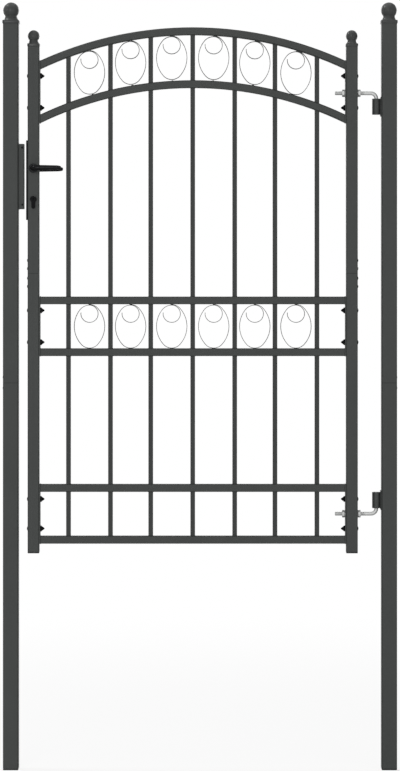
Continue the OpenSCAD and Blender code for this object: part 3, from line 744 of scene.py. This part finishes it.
class GATE_OT_screws(bpy.types.Operator):
    """Makes the socket-head screws that hold the joints of the posts and stiles"""

    bl_idname = "gate.screws"
    bl_label = "Joint screws"

    def execute(self, context):
        for tube, body in (("post", "posts"), ("stile", "leaf")):
            boxes = solids(f"{tube}_screws")
            low, high = boxes[0]
            left, right = (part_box(f"latch_{tube}_lower")[0].x,
                           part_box(f"hinge_{tube}_lower")[1].x)
            head_d = high.z - low.z
            head = socket_screw(head_d, left - low.x, hexagon(head_d * 0.36))
            heads = gathered([(head, on_faces(boxes, left, right))])
            piece(f"{tube}_socket_screws", heads, body, "black_metal", "black_bolts",
                  f"{tube}_screws")
        return {"FINISHED"}


def thread(x0, x1, radius, pitch, depth, per_turn=16):
    """A helical thread along X, closed at both ends."""
    turns = max(1, round((x1 - x0) / pitch) - 1)
    bm = bmesh.new()
    verts = [bm.verts.new((x0 + pitch * along, 0, radius - depth * inward))
             for along, inward in ((0, 1), (0.4, 0), (0.55, 0), (1, 1))]
    edges = [bm.edges.new(pair) for pair in zip(verts, verts[1:])]
    bmesh.ops.spin(bm, geom=verts + edges, cent=(0, 0, 0), axis=(1, 0, 0),
                   dvec=(pitch / per_turn, 0, 0), angle=math.tau * turns,
                   steps=turns * per_turn)
    bmesh.ops.remove_doubles(bm, verts=bm.verts, dist=2 * MERGE)
    bmesh.ops.holes_fill(bm, edges=[e for e in bm.edges if e.is_boundary], sides=0)
    bmesh.ops.recalc_face_normals(bm, faces=bm.faces)
    return bm


def hinge_rod(node, sizes, nuts):
    """A threaded rod through the stile whose far end is bent into the hinge socket."""
    root_play, chamfer, overlap, past_nut, in_nut = 0.0001, 0.0006, 0.001, 0.009, 0.004
    thread_start, thread_end = 0.0005, 0.0015
    low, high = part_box(node)
    up = 1 if node.endswith("lower") else -1
    r = (high.y - low.y) / 2
    z = low.z + r if up > 0 else high.z - r
    bend_r = sizes.rod_bend
    bend_x = high.x - r - bend_r
    core_r = r - sizes.thread_depth - root_play
    tip_r = core_r - chamfer
    smooth_x = nuts[1] + past_nut
    tail = Run((low.x, 0, z), (1, 0, 0), tip_r).on(chamfer, core_r / tip_r)
    tail.on(smooth_x + overlap - low.x - chamfer)
    rod = Run((smooth_x, 0, z), (1, 0, 0), core_r).on(r - core_r, r / core_r)
    rod.on(bend_x - smooth_x - (r - core_r))
    rod.bend((bend_x, 0, z + up * bend_r), (0, 1, 0), -90 * up)
    straight = (high.z - low.z) - r - bend_r
    rod.on(straight - overlap).on(overlap, (r - overlap) / r)
    here, at = [Matrix()], [Matrix.Translation((0, 0, z))]
    parts = [(tail.closed(), here), (rod.closed(), here)]
    for start, end in ((low.x + thread_start, nuts[0] + in_nut),
                       (nuts[1] - in_nut, smooth_x + thread_end)):
        parts.append((thread(start, end, r, sizes.thread_pitch, sizes.thread_depth), at))
    return gathered(parts)


class GATE_OT_hinges(bpy.types.Operator):
    """Makes the bent and threaded hinge rods with their nuts, and the welded sockets"""

    bl_idname = "gate.hinges"
    bl_label = "Hinges"

    def execute(self, context):
        s = context.scene.gate_sizes
        boxes = solids("hinge_nuts")
        for node in ("hinge_rod_upper", "hinge_rod_lower"):
            rod = hinge_rod(node, s, (boxes[0][0].x, boxes[-1][1].x))
            piece(node.replace("rod", "threaded_rod"), rod, "leaf", "zinc_steel",
                  "zinc_plate", node)
        rod_d, washer_d = 0.01, 0.02
        low, high = boxes[0]
        nut = hex_nut(high.y - low.y, high.x - low.x - WASHER, rod_d - PLAY)
        flat = washer(washer_d, rod_d + PLAY, s.sides)
        left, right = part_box("end_plates")[1].x - PLATE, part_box("hinge_stile_upper")[1].x
        nuts = gathered([(nut, on_faces(boxes, left - WASHER, right + WASHER)),
                         (flat, on_faces(boxes, left, right))])
        piece("hinge_rod_nuts", nuts, "leaf", "zinc_steel", "zinc_nuts", "hinge_nuts")
        for node in SOCKETS:
            piece(node.replace("socket", "welded_socket"), softened(node, s.edge), "posts",
                  "painted_steel", "powder_coat", node)
        return {"FINISHED"}


class GATE_OT_lock(bpy.types.Operator):
    """Makes the lock's faceplate, bolts, key cylinder, rosettes and strike box"""

    bl_idname = "gate.lock"
    bl_label = "Lock"

    def execute(self, context):
        for make in (self.plate, self.cylinder, self.roses, self.strike):
            make(context.scene.gate_sizes)
        return {"FINISHED"}

    def plate(self, s):
        """The faceplate with its two screws, and the bolts behind it."""
        inset, head_d, head_h, arm_w = 0.011, 0.0085, 0.0007, 0.0011
        low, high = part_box("lock_faceplate")
        piece("lock_front_plate", softened("lock_faceplate", s.edge * 0.7), "leaf",
              "black_metal", "black_bolts", "lock_faceplate")
        head = socket_screw(head_d, head_h, cross(arm_w))
        places = [pointing((low.x, 0, z), (-1, 0, 0))
                  for z in (low.z + inset, high.z - inset)]
        piece("lock_plate_screws", gathered([(head, places)]), "leaf", "zinc_steel",
              "zinc_plate")
        piece("lock_shooting_bolts", softened("lock_bolts", s.edge), "leaf", "zinc_steel",
              "zinc_plate", "lock_bolts")

    def cylinder(self, s):
        """The key cylinder, and the ring round its plug at either end."""
        low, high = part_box("lock_cylinder")
        piece("key_cylinder", softened("lock_cylinder", s.strip_edge), "leaf",
              "black_metal", "black_cylinder", "lock_cylinder")
        head_z = high.z - (high.x - low.x) / 2
        out = 0.0005
        ring = Profile(0.0044, -out).to((0.0056, -out), (0.0054, out), (0.0046, out))
        places = [pointing((middle((low, high)).x, y, head_z), (0, 1 if y > 0 else -1, 0))
                  for y in (low.y, high.y)]
        ring = gathered([(ring.turned(s.sides, closed=True), places)])
        piece("key_plug_rings", ring, "leaf", "black_metal", "black_bolts")

    def roses(self, s):
        """The round roses under both levers."""
        low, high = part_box("lever_rosettes")
        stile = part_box("latch_stile_upper")
        r, h, bore_r = (high.z - low.z) / 2, stile[0].y - low.y, 0.0072
        rim_h = h - 0.0006
        disc = Profile(bore_r, 0).to((r, 0), (r, h * 0.55), (r - 0.001, h * 0.8),
                                     (r - 0.003, h), (bore_r + 0.0013, h),
                                     (bore_r + 0.001, rim_h), (bore_r, rim_h))
        centre = Vector((middle(stile).x, 0, middle((low, high)).z))
        places = [pointing(centre + Vector((0, way * stile[1].y, 0)), (0, way, 0))
                  for way in (-1, 1)]
        roses = gathered([(disc.turned(s.sides, closed=True), places)])
        piece("lever_roses", roses, "leaf", "black_metal", "black_roses",
              "lever_rosettes")

    def strike(self, s):
        """The strike box with its two screws."""
        in_x, head_d, head_h, recess = 0.0046, 0.0056, 0.0009, 0.0024
        below_top, above_foot = 0.0098, 0.0115
        low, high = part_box("strike_box")
        piece("strike_housing", softened("strike_box", s.edge * 1.6, 3), "posts",
              "painted_steel", "powder_coat", "strike_box")
        head = socket_screw(head_d, head_h, hexagon(recess))
        places = [pointing((high.x - in_x, low.y, z), (0, -1, 0))
                  for z in (low.z + above_foot, high.z - below_top)]
        piece("strike_screws", gathered([(head, places)]), "posts", "black_metal",
              "black_bolts")


# Steps along a lever as (distance, scale): the groove at its neck, and its round tip
GROOVE = [(0.0035, 1.0), (0.0005, 0.93), (0.0012, 1.0), (0.0005, 1 / 0.93)]
TIP = [(0.004, 0.94), (0.004, 0.88), (0.0024, 0.84), (0.0011, 0.82), (0.0005, 0.7)]
TAPER = (1.0, 0.96, 0.95)  # How much thinner each third of the grip ends, in X, Y and Z


class GATE_OT_levers(bpy.types.Operator):
    """Makes the two door levers with their grub screws"""

    bl_idname = "gate.levers"
    bl_label = "Levers"

    def execute(self, context):
        bend_r, chamfer = 0.012, 0.0008
        grub_r, grub_h, grub_y, grub_out = 0.002, 0.001, 0.012, 0.0001
        for node, way in (("front_lever", -1), ("back_lever", 1)):
            low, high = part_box(node)
            neck_r = (high.z - low.z) / 2
            axis_x, z = low.x + neck_r, middle((low, high)).z
            start_y, end_y = (high.y, low.y) if way < 0 else (low.y, high.y)
            bend_y = end_y - way * (neck_r + bend_r)
            foot_r = neck_r - chamfer
            lever = Run((axis_x, start_y, z), (0, way, 0), foot_r, 32)
            lever.through([(chamfer, neck_r / foot_r), *GROOVE])
            lever.on(abs(bend_y - lever.centre.y))
            lever.bend((axis_x + bend_r, bend_y, z), (0, 0, 1), -90 * way)
            grip = high.x - axis_x - bend_r - sum(distance for distance, _ in TIP)
            lever.through([(grip / 3, TAPER)] * 3 + TIP)
            piece(node.replace("lever", "door_lever"), lever.closed(), "lever",
                  "black_metal", "black_lacquer", node)
            foot = (axis_x, start_y + way * grub_y, z - neck_r - grub_out)
            grub = Run(foot, UP, grub_r, 16).on(grub_h).closed()
            piece(node.replace("lever", "grub_screw"), grub, "lever", "black_metal",
                  "black_bolts")
        return {"FINISHED"}


class GATE_OT_scrolls(bpy.types.Operator):
    """Makes the two rows of scrolls from flat strip with soft edges"""

    bl_idname = "gate.scrolls"
    bl_label = "Scrolls"

    def execute(self, context):
        edge = context.scene.gate_sizes.strip_edge
        for node in SCROLLS:
            piece(node.replace("scrolls", "strip_scrolls"), softened(node, edge, 1), "leaf",
                  "painted_steel", "powder_coat", node)
        return {"FINISHED"}


def bead(start, end, width, pitch=0.004):
    """A weld bead along a corner, with ripples and tapered ends."""
    start, end = Vector(start), Vector(end)
    total = (end - start).length
    taper = total * 0.08
    steps = max(2, round(total / pitch))
    run = Run(start, end - start, width * 0.3, sides=6).on(taper, 1.6)
    for i in range(steps):
        run.on((total - 2 * taper) / steps, 0.84 if i % 2 else 1.19)
    return run.on(taper, 0.6).closed()


def beads(lines, width):
    """A weld bead along each (start, end)."""
    return [(bead(start, end, width), [Matrix()]) for start, end in lines]


def round_end(x, low, high, inset):
    """The four lines round a box's end at x, each shorter by inset at both its ends."""
    return ([((x, y, low.z + inset), (x, y, high.z - inset)) for y in (low.y, high.y)]
            + [((x, low.y + inset, z), (x, high.y - inset, z)) for z in (low.z, high.z)])


def collar_beads(place, half, width):
    """Four beads round a square bar, at a place whose Z runs along the bar."""
    side = bead((half, -half, 0), (half, half, 0), width, pitch=0.006)
    return side, [place @ Matrix.Rotation(turn * math.pi / 2, 4, "Z") for turn in range(4)]


class GATE_OT_welds(bpy.types.Operator):
    """Makes the weld beads of the bars, rails, plates, sockets, strike box and scrolls"""

    bl_idname = "gate.welds"
    bl_label = "Welds"

    def execute(self, context):
        width = context.scene.gate_sizes.bead
        parts = self.bars(width * 0.6) + self.rails(width * 0.8) + self.scrolls(width)
        for name, body, made in (("leaf_welds", "leaf", parts),
                                 ("post_welds", "posts", self.posts(width))):
            piece(name, gathered(made), body, "painted_steel", "weld_coat")
        return {"FINISHED"}

    def bars(self, width):
        """Beads where the bars pass through or meet the rails and arches."""
        parts = []
        circles = [arch_circle(arch) for arch in ARCHES]
        rail_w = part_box("mid_rail_upper")[1].y * 2
        for i in range(1, BARS + 1):
            low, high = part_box(f"bar_{i}")
            x, half = middle((low, high)).x, (high.x - low.x) / 2
            levels = [(low.z, 0.0)]
            for rail in RAILS[:-1]:  # The bars stand on the last rail
                bottom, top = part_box(rail)
                levels += [(bottom.z, 0.0), (top.z, 0.0)]
            for (centre, outer), depths in zip(circles, ((rail_w,), (rail_w, 0))):
                for depth in depths:
                    run = x - centre.x
                    rise = math.sqrt((outer - depth) ** 2 - run ** 2)
                    levels.append((centre.z + rise, -run / rise))
            for z, slope in levels:
                lean = Matrix(((1, 0, 0, x), (0, 1, 0, 0), (slope, 0, 1, z), (0, 0, 0, 1)))
                parts.append(collar_beads(lean, half, width))
        return parts

    def rails(self, width):
        """Beads where the rails and arches meet the end plates."""
        lines = []
        for node in (*ARCHES, *RAILS):
            low, high = map(Vector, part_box(node))
            tall = high.y - low.y
            if node in ARCHES:
                centre, outer = arch_circle(node)
                half = (high.x - low.x) / 2
                high.z = centre.z + math.sqrt(outer ** 2 - half ** 2)
                low.z = centre.z + math.sqrt((outer - tall) ** 2 - half ** 2)
            for x in (low.x, high.x):
                lines += round_end(x, low, high, tall * 0.12)
        return beads(lines, width)

    def scrolls(self, width):
        """Tacks that hold each scroll to the rails above and below it."""
        (upper, _), (lower, lower_r) = map(arch_circle, ARCHES)
        parts = []
        for node in SCROLLS:
            for i, box in enumerate(solids(node)):
                foot, head = (Vector((middle(box).x, 0, end.z)) for end in box)
                if node == "top_scrolls":
                    head.z -= SCROLL_END
                    head += (head - upper).normalized() * SCROLL_END
                    foot.z += SCROLL_END
                    foot = lower + (foot - lower).normalized() * lower_r
                for n, spot in enumerate((head, foot)):  # Tacks differ a little
                    blob = bmesh.new()
                    bmesh.ops.create_icosphere(blob, subdivisions=2, radius=width * 0.5)
                    size = Matrix.Diagonal((1.9 + 0.3 * ((i + n) % 3), 2.0, 1.0, 1))
                    tilt = Matrix.Rotation(0.2 * ((i * 2 + n) % 3 - 1), 4, "X")
                    parts.append((blob, [Matrix.Translation(spot) @ tilt @ size]))
        return parts

    def posts(self, width):
        """Beads of the hinge sockets and the strike box on their posts."""
        tube_end, plate_end, strike_end, off_plate = 0.006, 0.003, 0.002, 0.0007
        tacks, tack_l = (0.06, 0.42, 0.78), 0.026  # They start at these shares of the box
        lines = []
        for node in SOCKETS:
            low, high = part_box(node)
            tube_r = (high.x - PLATE - low.x) / 2
            x = high.x - PLATE - off_plate
            lines += [((x, y, low.z + tube_end), (x, y, high.z - tube_end))
                      for y in (-tube_r * 0.42, tube_r * 0.42)]
            lines += round_end(high.x, low, high, plate_end)
        low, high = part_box("strike_box")
        lines += [((low.x, low.y + strike_end, z), (low.x, high.y - strike_end, z))
                  for z in (low.z, high.z)]
        for y in (low.y, high.y):
            for share in tacks:
                z = low.z + (high.z - low.z) * share
                lines.append(((low.x, y, z), (low.x, y, z + tack_l)))
        return beads(lines, width)


# ---- Stage ----

# Each lamp's name, place from the gate's middle, size, power's setting and share of it
LAMPS = (("key_lamp", (-1.5, -6.6, 1.3), 2.6, "key", 1),
         ("fill_lamp", (3.4, -5.4, 0.9), 2.6, "fill", 1),
         ("high_lamp", (-2.9, 0.3, 4.1), 0.7, "spot", 1),
         ("top_lamp", (0, -0.4, 3.6), 3.2, "top", 1),
         ("back_lamp_left", (-2.6, 5.6, 1.9), 2.6, "fill", 1.5),
         ("back_lamp_right", (2.9, 5.6, 1.6), 2.6, "fill", 1.5))
PICTURE_MIDDLE = 0.4974  # Height of the picture's middle, as a share of its height
SENSOR = 36  # Width of the camera's sensor in millimetres


class GATE_OT_stage(bpy.types.Operator):
    """Lays the floor and sets up the world, the lamps and the camera"""

    bl_idname = "gate.stage"
    bl_label = "Stage"

    def execute(self, context):
        scene, stage = context.scene, context.scene.gate_stage
        aim = middle(CAD_BOX)
        self.floor(stage, aim)
        self.world(scene, stage)
        for name, place, size, power, share in LAMPS:
            self.lamp(name, aim + Vector(place), aim, size, getattr(stage, power) * share)
        lens = bpy.data.cameras.new("camera")
        lens.sensor_width = SENSOR
        lens.lens = SENSOR * stage.distance / stage.picture_height
        middle_z = CAD_BOX[0].z + stage.picture_height * PICTURE_MIDDLE
        lens.shift_y = (middle_z - stage.eye) / stage.picture_height
        lens.clip_start, lens.clip_end = 0.1, 100
        camera = placed("camera", lens)
        camera.matrix_world = Matrix.Translation(
            (aim.x, -stage.distance, stage.eye)) @ Matrix.Rotation(math.pi / 2, 4, "X")
        scene.camera = camera
        scene.view_settings.view_transform = "Standard"
        return {"FINISHED"}

    def seen(self, graph):
        """1 for rays that should meet the white background, 0 for the other ones."""
        camera, glossy, through = (
            graph.node("ShaderNodeLightPath", output=f"Is {kind} Ray")
            for kind in ("Camera", "Glossy", "Transmission"))
        return camera.highest(glossy).highest(through)

    def floor(self, stage, aim):
        """A pale floor that looks white and keeps a soft shadow."""
        bm = bmesh.new()
        bmesh.ops.create_grid(bm, x_segments=8, y_segments=8, size=stage.floor)
        bmesh.ops.translate(bm, verts=bm.verts, vec=(aim.x, aim.y, 0))
        mesh = bpy.data.meshes.new("floor")
        bm.to_mesh(mesh)
        bm.free()
        g = material("floor_white")
        matt = g.node("ShaderNodeBsdfDiffuse", None, {"Color": (0.82, 0.82, 0.82, 1)})
        white = g.node("ShaderNodeEmission", None, {"Color": (1, 1, 1, 1), "Strength": 1.0})
        away = g.node("ShaderNodeVectorMath", {"operation": "DISTANCE"},
                      {0: g.places(), 1: (aim.x, 0, 0)}, output=1)
        shown = g.node("ShaderNodeMixShader", None, {
            0: self.seen(g) * (away.between(0.9, 3.5) * 0.14 + 0.86), 1: matt, 2: white})
        g.node("ShaderNodeOutputMaterial", None, {"Surface": shown})
        mesh.materials.append(MATERIALS["floor_white"])
        floor = placed("floor", mesh)

    def world(self, scene, stage):
        """A dim sky that looks white."""
        scene.world = bpy.data.worlds.new("studio")
        g = Graph(scene.world)
        seen = self.seen(g)
        sky = g.node("ShaderNodeBackground", None, {
            "Color": (1, 1, 1, 1), "Strength": seen * (1 - stage.sky) + stage.sky})
        g.node("ShaderNodeOutputWorld", None, {"Surface": sky})

    def lamp(self, name, place, aim, size, power):
        """A square lamp that faces the gate."""
        light = bpy.data.lights.new(name, "AREA")
        light.size = size
        light.energy = power
        lamp = placed(name, light)
        lamp.matrix_world = pointing(place, place - aim)
        lamp.visible_camera = False


# ---- Add-on ----


class GATE_PT_sidebar(bpy.types.Panel):
    """The gate's steps, sizes and colours"""

    bl_idname = "GATE_PT_sidebar"
    bl_label = "Garden gate"
    bl_space_type = "VIEW_3D"
    bl_region_type = "UI"
    bl_category = "Gate"

    def draw(self, context):
        for step in STEPS:
            self.layout.operator(step.bl_idname)
        for group in ("gate_finish", "gate_sizes", "gate_stage"):
            values = getattr(context.scene, group)
            box = self.layout.box()
            for name in values.__annotations__:
                box.prop(values, name)


STEPS = (GATE_OT_finish, GATE_OT_caps, GATE_OT_bolts, GATE_OT_screws, GATE_OT_hinges,
         GATE_OT_lock, GATE_OT_levers, GATE_OT_scrolls, GATE_OT_welds, GATE_OT_stage)
GROUPS = {"gate_finish": GateFinish, "gate_sizes": GateSizes, "gate_stage": GateStage}


def register():
    """Adds the classes and the scene's settings."""
    for name, group in GROUPS.items():
        bpy.utils.register_class(group)
        setattr(bpy.types.Scene, name, PointerProperty(type=group))
    for shown in (*STEPS, GATE_PT_sidebar):
        bpy.utils.register_class(shown)


def unregister():
    """Takes them away again."""
    for shown in (GATE_PT_sidebar, *reversed(STEPS)):
        bpy.utils.unregister_class(shown)
    for name, group in reversed(GROUPS.items()):
        delattr(bpy.types.Scene, name)
        bpy.utils.unregister_class(group)


def main():
    """Builds the gate."""
    register()
    for step in STEPS:
        getattr(bpy.ops.gate, step.bl_idname.split(".")[1])()


if __name__ == "__main__":
    main()
